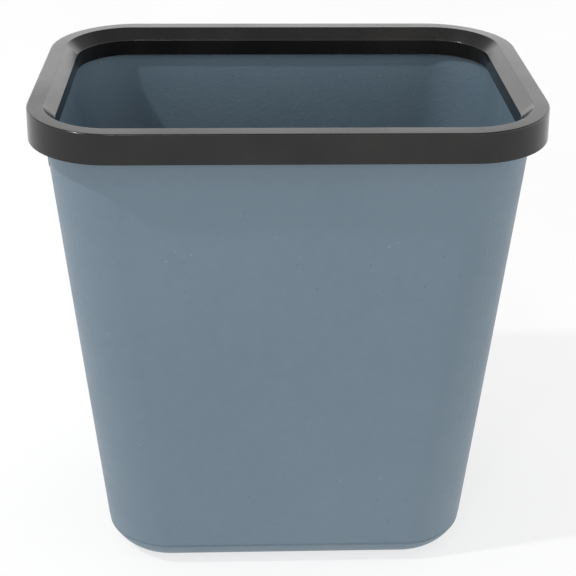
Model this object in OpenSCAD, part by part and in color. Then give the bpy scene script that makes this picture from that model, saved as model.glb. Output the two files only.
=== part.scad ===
// Under-desk wastebasket: a tapered plastic tub with a lift-off ring that traps the bag on its rim.
// Millimetres, +Z up, the long side along X and the front facing -Y.
// The origin is on the floor, under the middle of the tub.

/* [Overall] */
// Width across the outside of the ring
ring_w = 281.6; // [220:0.2:400]
// Depth across the outside of the ring
ring_d = 196.2; // [160:0.2:300]
// Height from the floor to the top of the ring
bin_h = 296; // [200:1:450]
// Corner radius of the ring's outer top edge, seen from above
corner_r = 49.7; // [30:0.1:70]

/* [Bag ring] */
// Height of the outer skirt
skirt_h = 16.8; // [10:0.1:30]
// How much smaller the outer skirt's corner radius is at its lower edge
corner_taper = 3.5; // [0:0.5:6]
// How much tighter the bevel's corners are than an even offset from the outer top edge
corner_tighter = 2.7; // [0:0.1:4]
// Wall thickness of the ring
ring_t = 1.8; // [1.2:0.1:3]
// Width of the flat top, from the outer face to the bevel
top_flat = 9.1; // [6:0.1:14]
// Width of the sloping bevel, seen from above
bevel_in = 6.3; // [3:0.1:12]
// Drop of the sloping bevel
bevel_drop = 6.5; // [3:0.1:12]
// Depth of the inner skirt's lower edge below the top
inner_drop = 16.2; // [10:0.1:30]
// How far the inner skirt leans out at its lower edge
inner_lean = 0.9; // [0:0.1:2]
// Radius of the ring's outer top edge
ring_edge = 0.9; // [0.3:0.1:1.5]

/* [Tub] */
// Wall thickness of the tub
wall_t = 2.0; // [1.4:0.1:4]
// Gap for the bag between the tub's wall and the inner skirt's lower edge
bag_gap = 1.8; // [0.8:0.1:3]
// Draft angle of the two end walls
end_draft = 4.05; // [1:0.05:8]
// Draft angle of the front and back walls
face_draft = 2.45; // [1:0.05:8]
// How much larger the tub's corner radius is at the floor than under the ring
corner_grow = 2.3; // [0:0.1:8]
// Play between the ring's outer skirt and the tub's rim lip
lip_play = 0.7; // [0.3:0.1:1.5]
// Play between the ring's bevel and the slope on the rim's inner edge
slope_play = 0.5; // [0.3:0.1:1]
// Thickness of the rim flange and of its turned-down lip
flange_t = 1.8; // [1.2:0.1:3]
// Height of the rim flange with its turned-down lip
lip_h = 9; // [5:0.5:15]

/* [Base] */
// Outside radius between the walls and the base
base_r = 18.8; // [6:0.1:30]
// Width of the flat band the tub stands on
land_w = 7; // [3:0.5:14]
// Height of the floor's underside above the ground, inside the flat band
floor_lift = 0.8; // [0.3:0.1:3]
// Thickness of the floor
floor_t = 2.2; // [1.5:0.1:4]

/* [Nesting ribs] */
// Distance of a rib from the start of the ring's rounded corner
rib_in = 4.5; // [2:0.5:20]
// How far a rib stands out from the tub's end wall
rib_out = 2.2; // [1:0.1:3]
// Thickness of a rib
rib_t = 2.4; // [1.2:0.1:4]
// Drop of a rib's lower end below the outer skirt
rib_drop = 22; // [8:1:60]

/* [Hidden] */
// Flat steps in each quarter-round corner
corner_steps = 16;
// Flat steps in each small rounded edge
edge_steps = 3;
// Flat steps in the radius between the walls and the base
base_steps = 12;
// Bite of a rib into the wall and into the flange
bite = 0.6;
// Break on the tub's small sharp edges
edge_break = 0.6;
// Slope of a rib's lower end, drop per unit of its stand-out
rib_slope = 1.5;

skirt_z = bin_h - skirt_h;
rim_z = bin_h - ring_t;
wall_gap = top_flat + bevel_in - inner_lean - ring_t - bag_gap - wall_t;
tub_r = corner_r - corner_tighter - wall_gap;
lip_inset = ring_t + lip_play;
bevel_angle = atan2(bevel_drop, bevel_in);
skirt_inset = top_flat + bevel_in;
inner_skirt_z = bin_h - inner_drop;
floor_z = floor_lift + floor_t;
inner_base_r = base_r - wall_t;
rib_y = ring_d / 2 - corner_r - rib_in;
bevel_run = bevel_in / bevel_drop;
under_bevel = top_flat - ring_t * tan(bevel_angle / 2);
slope_inset = under_bevel - slope_play / sin(bevel_angle);
slope_h = max([for (draft = [end_draft, face_draft])
    (wall_gap - tan(draft) * (rim_z - skirt_z) + wall_t - slope_inset) / (bevel_run - tan(draft))]);

// Depth of a wall with this draft inside the line of the ring's outer face, at height z
function wall_inset(z, draft) = wall_gap + tan(draft) * (skirt_z - z);

// Tub outline at height z, a depth g inside the outer wall: [height, end inset, face inset, corner radius]
function wall_at(z, g) = [
    z,
    wall_inset(z, end_draft) + g,
    wall_inset(z, face_draft) + g,
    tub_r + corner_grow * (skirt_z - z) / skirt_z - g
];

// Outline at height z, a distance i inside the ring's outer top edge
function rim_at(z, i) = [z, i, i, corner_r - i];

// Outline at height z that runs even with the ring's bevel, a distance i inside the outer top edge
function bevel_at(z, i) = [z, i, i, corner_r - corner_tighter - i];

// Outline at height z, a distance i inside the ring's outer skirt, whose corners tighten downwards
function skirt_at(z, i) = [z, i, i, corner_r - corner_taper * (bin_h - z) / skirt_h - i];

// Rounded rectangle of points for one outline
function outline(k) =
    [for (c = [0:3], s = [0:corner_steps])
        let (sx = (c == 0 || c == 3) ? 1 : -1, sy = c < 2 ? 1 : -1, a = 90 * (c + s / corner_steps))
        [sx * (ring_w / 2 - k[1] - k[3]) + k[3] * cos(a),
         sy * (ring_d / 2 - k[2] - k[3]) + k[3] * sin(a),
         k[0]]];

// The tub's outside, from the middle of the base up to the rim
outer_outlines = [
    wall_at(floor_lift, base_r + land_w + floor_lift),
    wall_at(0, base_r + land_w),
    for (s = [base_steps:-1:0])
        wall_at(base_r * (1 - sin(90 * s / base_steps)), base_r * (1 - cos(90 * s / base_steps))),
    wall_at(rim_z - flange_t, 0),
    rim_at(rim_z - flange_t, lip_inset + flange_t),
    rim_at(rim_z - lip_h, lip_inset + flange_t),
    rim_at(rim_z - lip_h, lip_inset),
    rim_at(rim_z - edge_break, lip_inset),
    rim_at(rim_z, lip_inset + edge_break)
];

// The tub's inside, from the rim down to the middle of the floor
inner_outlines = [
    bevel_at(rim_z, slope_inset),
    wall_at(rim_z - slope_h, wall_t),
    for (s = [0:base_steps])
        wall_at(floor_z + inner_base_r * (1 - sin(90 * s / base_steps)),
                wall_t + inner_base_r * (1 - cos(90 * s / base_steps)))
];

tub_outlines = concat(outer_outlines, inner_outlines);

// Closed skin through a list of outlines, with a flat cap on the first and on the last,
// or, as a loop, from the last outline back to the first
module skin(outlines, loop = false) {
    per = 4 * (corner_steps + 1);
    count = len(outlines);
    caps = loop ? [] : [[for (i = [0:per - 1]) i], [for (i = [per - 1:-1:0]) (count - 1) * per + i]];
    polyhedron(
        points = [for (k = outlines, p = outline(k)) p],
        faces = concat(caps,
            [for (j = [0:count - (loop ? 1 : 2)], i = [0:per - 1])
                let (n = (i + 1) % per, next = (j + 1) % count)
                [j * per + i, next * per + i, next * per + n, j * per + n]]),
        convexity = 6
    );
}

// One nesting rib on the +X end wall, from the flange down, with a sloping lower end
module nesting_rib() {
    top = rim_z - flange_t + bite;
    low = skirt_z - rib_drop;
    foot = low - rib_slope * rib_out;
    function wall_x(z) = ring_w / 2 - wall_inset(z, end_draft);
    rotate([90, 0, 0])
        linear_extrude(height = rib_t, center = true)
            polygon([
                [wall_x(foot) - bite, foot],
                [wall_x(foot), foot],
                [wall_x(low) + rib_out, low],
                [wall_x(top) + rib_out, top],
                [wall_x(top) - bite, top]
            ]);
}

// The ring's cross-section, from the outer skirt's lower edge over the top and back
ring_outlines = [
    skirt_at(skirt_z, 0),
    for (s = [0:edge_steps])
        skirt_at(bin_h - ring_edge * (1 - sin(90 * s / edge_steps)),
                 ring_edge * (1 - cos(90 * s / edge_steps))),
    bevel_at(bin_h, top_flat),
    bevel_at(bin_h - bevel_drop, skirt_inset),
    bevel_at(inner_skirt_z, skirt_inset - inner_lean),
    bevel_at(inner_skirt_z, skirt_inset - inner_lean - ring_t),
    bevel_at(bin_h - bevel_drop - ring_t * tan(45 - bevel_angle / 2), skirt_inset - ring_t),
    bevel_at(rim_z, under_bevel),
    skirt_at(rim_z, ring_t),
    skirt_at(skirt_z, ring_t)
];

module tub() {
    color([0.24, 0.33, 0.39])
        union() {
            skin(tub_outlines);
            for (turn = [0, 180], side = [-1, 1])
                rotate(turn) translate([0, side * rib_y, 0]) nesting_rib();
        }
}

module bag_ring() {
    color([0.05, 0.05, 0.05])
        skin(ring_outlines, loop = true);
}

tub();
bag_ring();
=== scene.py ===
import math

import bmesh
import bpy
from mathutils import Matrix, Vector


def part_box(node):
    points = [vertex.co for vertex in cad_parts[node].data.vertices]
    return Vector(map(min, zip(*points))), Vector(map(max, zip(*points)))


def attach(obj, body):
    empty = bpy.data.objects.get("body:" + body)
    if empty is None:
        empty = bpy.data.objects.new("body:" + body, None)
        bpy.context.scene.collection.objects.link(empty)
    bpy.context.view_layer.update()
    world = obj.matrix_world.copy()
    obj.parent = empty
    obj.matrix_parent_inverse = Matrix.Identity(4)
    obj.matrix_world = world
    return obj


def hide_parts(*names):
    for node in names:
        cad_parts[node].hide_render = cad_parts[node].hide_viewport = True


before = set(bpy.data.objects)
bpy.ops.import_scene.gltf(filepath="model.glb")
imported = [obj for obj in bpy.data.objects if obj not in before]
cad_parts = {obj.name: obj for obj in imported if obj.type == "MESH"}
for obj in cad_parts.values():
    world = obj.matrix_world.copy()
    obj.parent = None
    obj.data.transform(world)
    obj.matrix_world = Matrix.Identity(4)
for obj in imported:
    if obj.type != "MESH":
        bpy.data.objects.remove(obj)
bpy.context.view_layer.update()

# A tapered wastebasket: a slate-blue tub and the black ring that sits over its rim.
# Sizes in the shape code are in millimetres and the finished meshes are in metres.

MM = 0.001

# ---------------------------------------------------------------- sizes

ring_low, ring_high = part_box("bag_ring")
tub_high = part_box("tub")[1]
RING_W = (ring_high.x - ring_low.x) / MM
RING_D = (ring_high.y - ring_low.y) / MM
BIN_H = ring_high.z / MM
SKIRT_Z = ring_low.z / MM
RIM_Z = tub_high.z / MM
SKIRT_H = BIN_H - SKIRT_Z
CORNER_R, CORNER_TAPER, CORNER_TIGHTER = 49.7, 3.5, 2.7
RING_T = BIN_H - RIM_Z
TOP_FLAT = 9.1
BEVEL_IN, BEVEL_DROP = 6.3, 6.5
INNER_DROP, INNER_LEAN = 16.2, 0.9
WALL_T = 2.0
WALL_GAP = 8.9
LIP_INSET = (RING_W / 2) - tub_high.x / MM
FLANGE_T, LIP_H = 1.8, 9.0
END_DRAFT, FACE_DRAFT = math.radians(4.05), math.radians(2.45)
CORNER_GROW = 2.3
BASE_R = 18.8
LAND_W = 7.0
FLOOR_LIFT, FLOOR_T = 0.8, 2.2
RIB_IN, RIB_OUT, RIB_T, RIB_DROP = 4.5, 2.2, 2.4, 22.0
RIB_SLOPE, RIB_BITE, RIB_ROOT, RIB_NOSE = 1.5, 0.4, 0.8, 0.16
SLOPE_PLAY = 0.5
BOW_FACE, BOW_END = 0.5, 0.25

# Fillet radii: the tub's small edges, inside corners, flange root and rim
EDGE_R, HOLLOW_R, ROOT_R, RIM_R = 0.5, 0.8, 1.2, 0.9
# Fillet radii: the ring's top edges, skirt edge, inner skirt edge and channel
TOP_R, CREASE_R, SKIRT_EDGE_R, INNER_EDGE_R, CHANNEL_R = 0.9, 0.5, 0.35, 0.45, 0.6

# How finely the shapes are divided
CORNER_STEPS = 22
LONG_STEPS, SHORT_STEPS = 14, 8
FILLET_STEPS = 4
BASE_STEPS = 18
WALL_STEPS = 9
NOSE_STEPS = 6
SHARP_ANGLE = 34
# How far below the flange the wall's rows end, and how far inside the band the underside's first row is
WALL_END, LAND_RUN = 3.0, 1.2


def point_2d(x, y):
    return Vector((x, y))


def rounded(corners, closed=False):
    """A 2-D path through (x, y, radius) corners. A corner with no radius is kept as it is."""
    out = []
    count = len(corners)
    for i, (x, y, radius) in enumerate(corners):
        here = point_2d(x, y)
        if radius == 0 or (not closed and i in (0, count - 1)):
            out.append(here)
            continue
        before = point_2d(*corners[i - 1][:2]) - here
        after = point_2d(*corners[(i + 1) % count][:2]) - here
        half = before.angle(after) / 2
        back = min(radius / math.tan(half), 0.48 * before.length, 0.48 * after.length)
        radius = back * math.tan(half)
        centre = here + (before.normalized() + after.normalized()).normalized() * (radius / math.sin(half))
        start = here + before.normalized() * back - centre
        end = here + after.normalized() * back - centre
        a0 = math.atan2(start.y, start.x)
        sweep = (math.atan2(end.y, end.x) - a0 + math.pi) % (2 * math.pi) - math.pi
        for s in range(FILLET_STEPS + 1):
            a = a0 + sweep * s / FILLET_STEPS
            out.append(centre + radius * point_2d(math.cos(a), math.sin(a)))
    return out


def outline(half_x, half_y, radius, z_end, z_face):
    """Points round a rounded rectangle, anticlockwise from where the +X end meets the back corner."""
    points = []
    for corner, (sx, sy) in enumerate(((1, 1), (-1, 1), (-1, -1), (1, -1))):
        for s in range(CORNER_STEPS + 1):
            a = math.pi / 2 * (corner + s / CORNER_STEPS)
            z = z_end * math.cos(a) ** 2 + z_face * math.sin(a) ** 2
            points.append(Vector((
                sx * (half_x - radius) + radius * math.cos(a),
                sy * (half_y - radius) + radius * math.sin(a),
                z,
            )))
    out = []
    per = CORNER_STEPS + 1
    for corner in range(4):
        arc = points[corner * per:(corner + 1) * per]
        out += arc
        first = points[((corner + 1) % 4) * per]
        steps = LONG_STEPS if corner % 2 == 0 else SHORT_STEPS
        out += [arc[-1].lerp(first, s / steps) for s in range(1, steps)]
    return out


def loft(outlines, closed):
    """A bmesh of quads between outlines, with a flat cap on each end unless the loft is closed."""
    mesh = bmesh.new()
    rows = [[mesh.verts.new(p * MM) for p in o] for o in outlines]
    per = len(rows[0])
    pairs = list(zip(rows, rows[1:]))
    if closed:
        pairs.append((rows[-1], rows[0]))
    for low, high in pairs:
        for i in range(per):
            n = (i + 1) % per
            mesh.faces.new((low[i], low[n], high[n], high[i]))
    if not closed:
        mesh.faces.new(list(reversed(rows[0])))
        mesh.faces.new(rows[-1])
    bmesh.ops.recalc_face_normals(mesh, faces=mesh.faces)
    return mesh


def object_of(mesh, name):
    """A linked object from a bmesh, which is freed."""
    data = bpy.data.meshes.new(name)
    mesh.to_mesh(data)
    mesh.free()
    made = bpy.data.objects.new(name, data)
    bpy.context.scene.collection.objects.link(made)
    return made


def finish_mesh(mesh, name, material):
    """A smooth-shaded object from a bmesh, with true flats between its small fillets."""
    limit = math.radians(SHARP_ANGLE)
    for edge in mesh.edges:
        edge.smooth = len(edge.link_faces) != 2 or edge.calc_face_angle(0) < limit
    for face in mesh.faces:
        face.smooth = True
    made = object_of(mesh, name)
    made.data.materials.append(material)
    flats = made.modifiers.new("flats", "WEIGHTED_NORMAL")
    flats.keep_sharp = True
    return made


# ---------------------------------------------------------------- materials

class Tree:
    """Builds one material's nodes."""

    def __init__(self, name):
        self.material = bpy.data.materials.new(name)
        self.material.use_nodes = True
        self.nodes = self.material.node_tree.nodes
        self.links = self.material.node_tree.links
        self.shader = self.nodes["Principled BSDF"]
        self.where = self.add("ShaderNodeTexCoord").outputs["Object"]

    def put(self, node, socket, value):
        if isinstance(value, bpy.types.NodeSocket):
            self.links.new(value, node.inputs[socket])
        else:
            node.inputs[socket].default_value = value

    def add(self, kind, inputs=(), **settings):
        node = self.nodes.new(kind)
        for key, value in settings.items():
            setattr(node, key, value)
        for socket, value in dict(inputs).items():
            self.put(node, socket, value)
        return node

    def scaled(self, scale):
        return self.add("ShaderNodeMapping", {"Vector": self.where, "Scale": scale}).outputs[0]

    def noise(self, scale, detail=2.0, roughness=0.5, vector=None, distortion=0.0):
        node = self.add("ShaderNodeTexNoise", {
            "Vector": vector or self.where, "Scale": scale, "Detail": detail,
            "Roughness": roughness, "Distortion": distortion})
        return node.outputs["Fac"]

    def cells(self, scale, feature="F1", smooth=None):
        node = self.add("ShaderNodeTexVoronoi", {"Vector": self.where, "Scale": scale}, feature=feature)
        if smooth is not None:
            node.inputs["Smoothness"].default_value = smooth
        return node

    def span(self, value, low, high, to_low=0.0, to_high=1.0):
        """value remapped from low..high to to_low..to_high, and held at the ends."""
        node = self.add("ShaderNodeMapRange", {
            "Value": value, "From Min": low, "From Max": high, "To Min": to_low, "To Max": to_high})
        return node.outputs["Result"]

    def maths(self, operation, a, b):
        node = self.add("ShaderNodeMath", {0: a, 1: b}, operation=operation)
        return node.outputs[0]

    def mix(self, factor, a, b):
        node = self.add("ShaderNodeMix", data_type="RGBA")
        self.put(node, "Factor", factor)
        self.put(node, 6, a)
        self.put(node, 7, b)
        return node.outputs[2]

    def bump(self, height, distance, strength=1.0, normal=None):
        node = self.add("ShaderNodeBump", {"Height": height, "Distance": distance, "Strength": strength})
        if normal is not None:
            self.put(node, "Normal", normal)
        return node.outputs[0]


def tub_plastic():
    """Slate-blue moulded polypropylene with a fine leathery grain, faint scuffs and specks."""
    t = Tree("tub_plastic")
    position = t.add("ShaderNodeSeparateXYZ", {0: t.where})
    height = position.outputs["Z"]

    shade = t.noise(9.0, 3.0, 0.55)
    mottle = t.noise(160.0, 2.0)
    base = t.mix(t.span(shade, 0.35, 0.65), TUB_DARK, TUB_LIGHT)
    base = t.mix(t.span(mottle, 0.3, 0.7, 0.0, 0.16), base, TUB_PALE)

    streaks = t.noise(60.0, 5.0, 0.62, t.scaled((9.0, 9.0, 0.9)), 0.4)
    patches = t.noise(16.0, 2.0)
    scuffs = t.maths("MULTIPLY", t.span(streaks, 0.62, 0.74), t.span(patches, 0.52, 0.66))
    near_floor = t.span(height, 0.0, 0.06, 1.0, 0.25)
    scuffs = t.maths("MULTIPLY", scuffs, near_floor)
    base = t.mix(t.maths("MULTIPLY", scuffs, 0.35), base, TUB_SCUFF)

    specks = t.cells(150.0)
    dots = t.span(specks.outputs["Distance"], 0.06, 0.12, 1.0, 0.0)
    dark_one = t.span(specks.outputs["Color"], 0.18, 0.181, 1.0, 0.0)
    pale_one = t.span(specks.outputs["Color"], 0.82, 0.821)
    base = t.mix(t.maths("MULTIPLY", t.maths("MULTIPLY", dots, dark_one), 0.4), base, TUB_SPECK)
    base = t.mix(t.maths("MULTIPLY", t.maths("MULTIPLY", dots, pale_one), 0.16), base, TUB_FLECK)
    t.put(t.shader, "Base Color", base)

    rough = t.span(t.noise(42.0, 3.0), 0.3, 0.7, 0.40, 0.48)
    rough = t.maths("ADD", rough, t.maths("MULTIPLY", scuffs, 0.12))
    t.put(t.shader, "Roughness", rough)
    t.put(t.shader, "IOR", 1.54)

    pebble = t.cells(560.0, "SMOOTH_F1", smooth=0.7).outputs["Distance"]
    creases = t.noise(900.0, 3.0, 0.6)
    grain = t.maths("ADD", t.maths("MULTIPLY", pebble, 0.7), t.maths("MULTIPLY", creases, 0.6))
    sway = t.bump(t.noise(11.0, 1.0), 0.0011)
    fine = t.bump(grain, 0.00022, 1.0, sway)
    t.put(t.shader, "Normal", fine)
    return t.material


def ring_plastic():
    """Black satin polypropylene, with faint smudges, dust and handling marks."""
    t = Tree("ring_plastic")
    smudge = t.noise(22.0, 4.0, 0.6)
    dust = t.noise(420.0, 4.0, 0.7)
    base = t.mix(t.span(smudge, 0.4, 0.75), RING_DARK, RING_WORN)
    dusty = t.maths("MULTIPLY", t.span(dust, 0.56, 0.72), t.span(smudge, 0.42, 0.66, 0.05, 0.5))
    base = t.mix(dusty, base, RING_DUST)
    t.put(t.shader, "Base Color", base)

    scratches = t.noise(240.0, 4.0, 0.7, t.scaled((1.0, 1.0, 7.0)), 0.6)
    rough = t.span(smudge, 0.3, 0.7, 0.17, 0.24)
    rough = t.maths("ADD", rough, t.span(scratches, 0.6, 0.75, 0.0, 0.1))
    t.put(t.shader, "Roughness", rough)
    t.put(t.shader, "IOR", 1.42)

    grain = t.noise(1500.0, 3.0, 0.6)
    sway = t.bump(t.noise(16.0, 1.0), 0.0007)
    t.put(t.shader, "Normal", t.bump(grain, 0.00004, 0.6, sway))
    return t.material


TUB_DARK = (0.099, 0.148, 0.189, 1)
TUB_LIGHT = (0.107, 0.157, 0.199, 1)
TUB_PALE = (0.138, 0.185, 0.222, 1)
TUB_SCUFF = (0.20, 0.25, 0.29, 1)
TUB_SPECK = (0.04, 0.06, 0.08, 1)
TUB_FLECK = (0.40, 0.46, 0.50, 1)
RING_DARK = (0.0065, 0.0064, 0.0064, 1)
RING_WORN = (0.0130, 0.0118, 0.0110, 1)
RING_DUST = (0.022, 0.020, 0.018, 1)


# ---------------------------------------------------------------- the tub

# A fine groove and ridge where the mould's base insert met its wall:
# (distance down the surface from the line, how far it stands out)
PARTING_Z = 15.0
PARTING_LINE = (
    (2.1, 0.0), (1.7, 0.1), (1.3, 0.3), (0.9, 0.4), (0.6, 0.3), (0.4, 0.0),
    (0.2, -0.3), (-0.05, -0.42), (-0.4, -0.36), (-0.8, -0.14), (-1.1, -0.03), (-1.4, 0.0),
)
GATE_R, GATE_DIP, GATE_NUB_R, GATE_NUB = 6.0, 0.5, 1.3, 0.35


def wall_inset(z, draft):
    return WALL_GAP + math.tan(draft) * (SKIRT_Z - z)


def base_arc(radius, low, steps):
    """(depth inside the wall, height) from the bottom of a base radius up to the wall."""
    return [
        (radius * (1 - math.cos(a)), low + radius * (1 - math.sin(a)))
        for a in (math.pi / 2 * (1 - s / steps) for s in range(steps + 1))
    ]


def base_arc_with_line():
    """The outer base radius with the parting line's ridge and groove in it."""
    line_angle = math.asin(1 - PARTING_Z / BASE_R)
    reach = max(abs(d) for d, _ in PARTING_LINE) / BASE_R * 1.1
    angles = [(math.pi / 2 * (1 - s / BASE_STEPS), 0.0) for s in range(BASE_STEPS + 1)]
    kept = [(a, o) for a, o in angles if abs(a - line_angle) > reach]
    kept += [(line_angle + d / BASE_R, o) for d, o in PARTING_LINE]
    kept.sort(key=lambda item: -item[0])
    return [
        (BASE_R - (BASE_R + out) * math.cos(a), BASE_R - (BASE_R + out) * math.sin(a))
        for a, out in kept
    ]


def tub_path(draft):
    """(depth inside the ring's outer face, height) from under the base, over the rim, to the floor."""
    floor_z = FLOOR_LIFT + FLOOR_T
    inner_r = BASE_R - WALL_T
    angle = math.atan2(BEVEL_DROP, BEVEL_IN)
    slope_inset = TOP_FLAT - RING_T * math.tan(angle / 2) - SLOPE_PLAY / math.sin(angle)
    run = BEVEL_IN / BEVEL_DROP
    slope_h = max(
        (WALL_GAP - math.tan(d) * (RIM_Z - SKIRT_Z) + WALL_T - slope_inset) / (run - math.tan(d))
        for d in (END_DRAFT, FACE_DRAFT)
    )
    under = RIM_Z - FLANGE_T
    path = [
        (wall_inset(0, draft) + BASE_R + LAND_W + FLOOR_LIFT + LAND_RUN, FLOOR_LIFT, 0),
        (wall_inset(0, draft) + BASE_R + LAND_W + FLOOR_LIFT, FLOOR_LIFT, EDGE_R),
        (wall_inset(0, draft) + BASE_R + LAND_W, 0, EDGE_R),
    ]
    path += [(wall_inset(z, draft) + g, z, 0) for g, z in base_arc_with_line()]
    for s in range(1, WALL_STEPS):
        z = BASE_R + (under - BASE_R - WALL_END) * s / WALL_STEPS
        path.append((wall_inset(z, draft), z, 0))
    path += [
        (wall_inset(under, draft), under, ROOT_R),
        (LIP_INSET + FLANGE_T, under, HOLLOW_R),
        (LIP_INSET + FLANGE_T, RIM_Z - LIP_H, EDGE_R),
        (LIP_INSET, RIM_Z - LIP_H, EDGE_R),
        (LIP_INSET, RIM_Z, RIM_R),
        (slope_inset, RIM_Z, EDGE_R),
        (wall_inset(RIM_Z - slope_h, draft) + WALL_T, RIM_Z - slope_h, HOLLOW_R),
    ]
    for s in range(WALL_STEPS - 1, 0, -1):
        z = BASE_R + (under - BASE_R - WALL_END) * s / WALL_STEPS
        path.append((wall_inset(z, draft) + WALL_T, z, 0))
    for g, z in reversed(base_arc(inner_r, floor_z, BASE_STEPS)):
        path.append((wall_inset(z, draft) + WALL_T + g, z, 0))
    return rounded(path)


def tightening(inset):
    """How far the corners have gone from the outer top edge's radius to the bevel's tighter one, 0 to 1."""
    lip_end = LIP_INSET + FLANGE_T
    return min(max((inset - lip_end) / (TOP_FLAT - RING_T - lip_end), 0), 1)


def tub_corner(inset, z):
    """The tub's corner radius at a point of its end-wall path."""
    if z > SKIRT_Z:
        return CORNER_R - CORNER_TIGHTER * tightening(inset) - inset
    grow = CORNER_GROW * (SKIRT_Z - z) / SKIRT_Z
    return CORNER_R - CORNER_TIGHTER - WALL_GAP + grow - (inset - wall_inset(z, END_DRAFT))


def ring_corner(inset, z):
    """The ring's corner radius. Its outer skirt tightens downwards, and its bevel is tighter all over."""
    tight = tightening(inset)
    skirt = CORNER_TAPER * (BIN_H - z) / SKIRT_H
    return CORNER_R - CORNER_TIGHTER * tight - skirt * (1 - tight) - inset


def to_centre(outlines_from, z, gate):
    """Outlines that run from a rounded rectangle in to a small round gate mark."""
    half_x, half_y, radius = outlines_from
    made = []
    for mix in (0.3, 0.6, 0.85):
        made.append((
            half_x + (GATE_R * 2.2 - half_x) * mix,
            half_y + (GATE_R * 2.2 - half_y) * mix,
            radius + (GATE_R * 2.2 - radius) * mix,
            z,
        ))
    for r, up in gate:
        made.append((r, r, r, z + up))
    return [outline(x, y, r, z1, z1) for x, y, r, z1 in made]


def bow(p):
    """A moulded wall isn't quite flat: every wall swells very slightly between its corners."""
    rise = math.sin(math.pi * min(max(p.z / RIM_Z, 0), 1)) ** 2
    long_way = math.cos(math.pi * min(abs(p.x) / (RING_W / 2), 1) / 2) ** 2
    short_way = math.cos(math.pi * min(abs(p.y) / (RING_D / 2), 1) / 2) ** 2
    on_face = min(max((abs(p.y) - RING_D / 4) / (RING_D / 8), 0), 1)
    on_end = min(max((abs(p.x) - RING_W / 3) / (RING_W / 12), 0), 1)
    return Vector((
        math.copysign(BOW_END * rise * short_way * on_end, p.x),
        math.copysign(BOW_FACE * rise * long_way * on_face, p.y),
        0,
    ))


def tub_outlines():
    ends, faces = tub_path(END_DRAFT), tub_path(FACE_DRAFT)
    made = []
    for e, f in zip(ends, faces):
        made.append((RING_W / 2 - e.x, RING_D / 2 - f.x, tub_corner(e.x, e.y), e.y, f.y))
    gate_out = ((GATE_R, 0.0), (GATE_R * 0.93, GATE_DIP * 0.5), (GATE_R * 0.82, GATE_DIP),
                (GATE_NUB_R * 1.4, GATE_DIP), (GATE_NUB_R * 1.1, GATE_DIP - GATE_NUB * 0.6),
                (GATE_NUB_R * 0.7, GATE_DIP - GATE_NUB))
    gate_in = ((GATE_R, 0.0), (GATE_R * 0.94, 0.12), (GATE_R * 0.86, 0.2), (GATE_R * 0.3, 0.25))
    under = to_centre(made[0][:3], made[0][3], gate_out)
    floor = to_centre(made[-1][:3], made[-1][3], gate_in)
    rows = list(reversed(under)) + [outline(*m) for m in made] + floor
    return [[p + bow(p) for p in row] for row in rows]


def rib(side_x, side_y):
    """A nesting rib under the flange, rounded on its outer edge, as a closed bmesh."""
    top = RIM_Z - FLANGE_T + RIB_BITE
    low = SKIRT_Z - RIB_DROP
    toe = low - RIB_SLOPE * RIB_OUT

    def wall_x(z):
        return RING_W / 2 - wall_inset(z, END_DRAFT)

    section = []
    nose = RIB_T * RIB_NOSE
    for x, y in ((-RIB_ROOT, RIB_T / 2), (RIB_OUT - nose, RIB_T / 2)):
        section.append((x, y))
    for s in range(1, NOSE_STEPS):
        a = math.pi / 2 * (1 - s / NOSE_STEPS)
        section.append((RIB_OUT - nose + nose * math.cos(a), RIB_T / 2 - nose + nose * math.sin(a)))
    section += [(x, -y) for x, y in reversed(section)]
    heights = ((top, 1.0), (low + 1.2, 1.0), (low + 0.3, 0.97), (low - 0.4, 0.85), (toe, 0.05))
    mesh = bmesh.new()
    rows = []
    for z, share in heights:
        row = []
        for x, y in section:
            depth = x if x < 0 else x * share
            row.append(mesh.verts.new(Vector((
                side_x * (wall_x(z) + depth), side_y * (RING_D / 2 - CORNER_R - RIB_IN) + y, z)) * MM))
        rows.append(row)
    per = len(section)
    for upper, lower in zip(rows, rows[1:]):
        for i in range(per):
            n = (i + 1) % per
            mesh.faces.new((upper[i], upper[n], lower[n], lower[i]))
    mesh.faces.new(rows[0])
    mesh.faces.new(list(reversed(rows[-1])))
    bmesh.ops.recalc_face_normals(mesh, faces=mesh.faces)
    return mesh


def joined(body, tools):
    """The boolean union of a body and its tools, as a bmesh. The inputs are removed."""
    for tool in tools:
        union = body.modifiers.new("union", "BOOLEAN")
        union.operation = "UNION"
        union.solver = "EXACT"
        union.object = tool
    bpy.context.view_layer.update()
    shown = body.evaluated_get(bpy.context.evaluated_depsgraph_get())
    mesh = bmesh.new()
    mesh.from_mesh(shown.to_mesh())
    shown.to_mesh_clear()
    for o in [body, *tools]:
        bpy.data.objects.remove(o)
    bmesh.ops.remove_doubles(mesh, verts=mesh.verts, dist=0.00001)
    return mesh


tub_body = object_of(loft(tub_outlines(), closed=False), "tub_body")
ribs = [object_of(rib(x, y), "rib") for x in (-1, 1) for y in (-1, 1)]
tub = finish_mesh(joined(tub_body, ribs), "tub_moulding", tub_plastic())
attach(tub, "tub")
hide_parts("tub")


# ---------------------------------------------------------------- the bag ring

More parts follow.
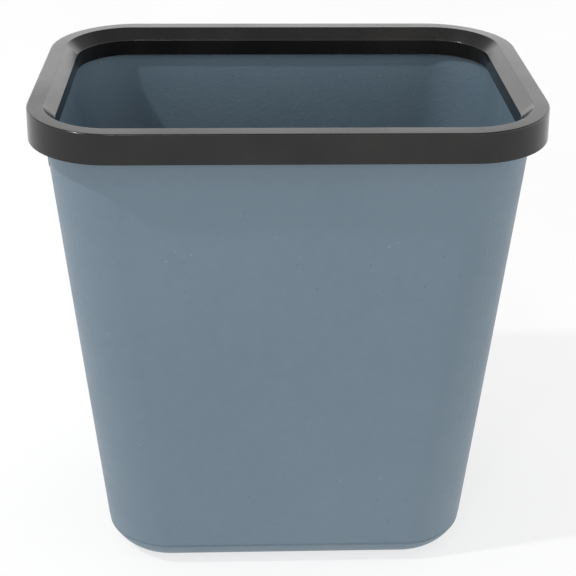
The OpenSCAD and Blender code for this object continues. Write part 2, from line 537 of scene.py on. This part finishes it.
def ring_section():
    """The ring's cross-section, (depth inside its outer face, height), as a closed rounded path."""
    skirt_inset = TOP_FLAT + BEVEL_IN
    angle = math.atan2(BEVEL_DROP, BEVEL_IN)
    inner_z = BIN_H - INNER_DROP
    return rounded([
        (0.0, SKIRT_Z, SKIRT_EDGE_R),
        (0.0, BIN_H, TOP_R),
        (TOP_FLAT, BIN_H, CREASE_R),
        (skirt_inset, BIN_H - BEVEL_DROP, TOP_R),
        (skirt_inset - INNER_LEAN, inner_z, INNER_EDGE_R),
        (skirt_inset - INNER_LEAN - RING_T, inner_z, INNER_EDGE_R),
        (skirt_inset - RING_T, BIN_H - BEVEL_DROP - RING_T * math.tan(math.pi / 4 - angle / 2), CHANNEL_R),
        (TOP_FLAT - RING_T * math.tan(angle / 2), RIM_Z, CHANNEL_R),
        (RING_T, RIM_Z, CHANNEL_R),
        (RING_T, SKIRT_Z, SKIRT_EDGE_R),
    ], closed=True)


ring_outlines = [
    outline(RING_W / 2 - p.x, RING_D / 2 - p.x, ring_corner(p.x, p.y), p.y, p.y) for p in ring_section()
]
ring = finish_mesh(loft(ring_outlines, closed=True), "bag_ring_moulding", ring_plastic())
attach(ring, "bag_ring")
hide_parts("bag_ring")


# ---------------------------------------------------------------- floor, light and camera

def floor():
    bpy.ops.mesh.primitive_circle_add(vertices=96, radius=14.0, fill_type="NGON")
    made = bpy.context.object
    made.name = "studio_floor"
    t = Tree("studio_floor")
    tone = t.mix(t.span(t.noise(3.0, 2.0), 0.3, 0.7), (0.24, 0.24, 0.24, 1), (0.26, 0.26, 0.26, 1))
    t.put(t.shader, "Base Color", tone)
    t.put(t.shader, "Roughness", 0.7)
    t.put(t.shader, "Specular IOR Level", 0.2)
    t.put(t.shader, "Emission Color", (1, 1, 1, 1))
    t.put(t.shader, "Emission Strength", FLOOR_GLOW)
    made.data.materials.append(t.material)


def studio_world():
    """White surroundings: brightest low down, dim overhead, and a little brighter on the right."""
    world = bpy.data.worlds.new("studio")
    bpy.context.scene.world = world
    world.use_nodes = True
    nodes, links = world.node_tree.nodes, world.node_tree.links

    def ramp(value, low, high, to_low, to_high):
        node = nodes.new("ShaderNodeMapRange")
        node.interpolation_type = "SMOOTHSTEP"
        links.new(value, node.inputs["Value"])
        ends = {"From Min": low, "From Max": high, "To Min": to_low, "To Max": to_high}
        for socket, number in ends.items():
            if isinstance(number, bpy.types.NodeSocket):
                links.new(number, node.inputs[socket])
            else:
                node.inputs[socket].default_value = number
        return node.outputs["Result"]

    way = nodes.new("ShaderNodeSeparateXYZ")
    links.new(nodes.new("ShaderNodeTexCoord").outputs["Generated"], way.inputs[0])
    low_front = ramp(way.outputs["Z"], *FRONT_LOW, WORLD_LOW, WORLD_FRONT)
    front = ramp(way.outputs["Z"], *FRONT_TOP, low_front, WORLD_OVERHEAD)
    behind = ramp(way.outputs["Z"], *BACK_TOP, WORLD_HORIZON, WORLD_BACK)
    all_round = ramp(way.outputs["Y"], *BACK_SPREAD, front, behind)
    sideways = ramp(way.outputs["X"], *SIDE_SPREAD, *SIDE_SHARE)
    strength = nodes.new("ShaderNodeMath")
    strength.operation = "MULTIPLY"
    links.new(all_round, strength.inputs[0])
    links.new(sideways, strength.inputs[1])
    back = nodes["Background"]
    back.inputs["Color"].default_value = (1, 1, 1, 1)
    links.new(strength.outputs[0], back.inputs["Strength"])


def soft_box(name, place, target, size, power):
    light = bpy.data.lights.new(name, "AREA")
    light.shape = "RECTANGLE"
    light.size, light.size_y = size
    light.energy = power
    made = bpy.data.objects.new(name, light)
    made.location = place
    made.rotation_mode = "QUATERNION"
    made.rotation_quaternion = (Vector(target) - Vector(place)).to_track_quat("-Z", "Y")
    bpy.context.scene.collection.objects.link(made)


WORLD_LOW, WORLD_FRONT, WORLD_OVERHEAD = 1.45, 1.6, 0.46
WORLD_HORIZON, WORLD_BACK = 1.92, 0.62
FRONT_LOW, FRONT_TOP = (0.0, 0.16), (0.4, 0.62)
BACK_TOP, BACK_SPREAD = (0.29, 0.47), (-0.15, 0.5)
SIDE_SPREAD, SIDE_SHARE = (0.5, 0.95), (0.98, 1.34)
FLOOR_GLOW = 0.7
floor()
studio_world()
soft_box("left_lamp", (-1.24, -0.44, 1.72), (0.0, 0.0, 0.25), (0.08, 0.08), 20.0)
soft_box("front_lamp", (-0.32, -1.12, 1.85), (0.0, 0.0, 0.25), (0.12, 0.12), 3.0)

camera_data = bpy.data.cameras.new("camera")
camera_data.sensor_width = 36.0
camera_data.lens = 79.07
camera_data.clip_start, camera_data.clip_end = 0.01, 100.0
camera = bpy.data.objects.new("camera", camera_data)
bpy.context.scene.collection.objects.link(camera)
YAW, PITCH, ROLL = 0.03848, 0.48992, 0.01038
forward = Vector((math.sin(YAW) * math.cos(PITCH), math.cos(YAW) * math.cos(PITCH), -math.sin(PITCH)))
level = Vector((math.cos(YAW), -math.sin(YAW), 0))
upward = level.cross(forward)
right = level * math.cos(ROLL) + upward * math.sin(ROLL)
up = upward * math.cos(ROLL) - level * math.sin(ROLL)
camera.matrix_world = Matrix.Translation((-0.02465, -0.69840, 0.52827)) @ Matrix(
    (right, up, -forward)).transposed().to_4x4()
bpy.context.scene.camera = camera
bpy.context.scene.view_settings.view_transform = "Standard"
bpy.context.scene.view_settings.look = "None"
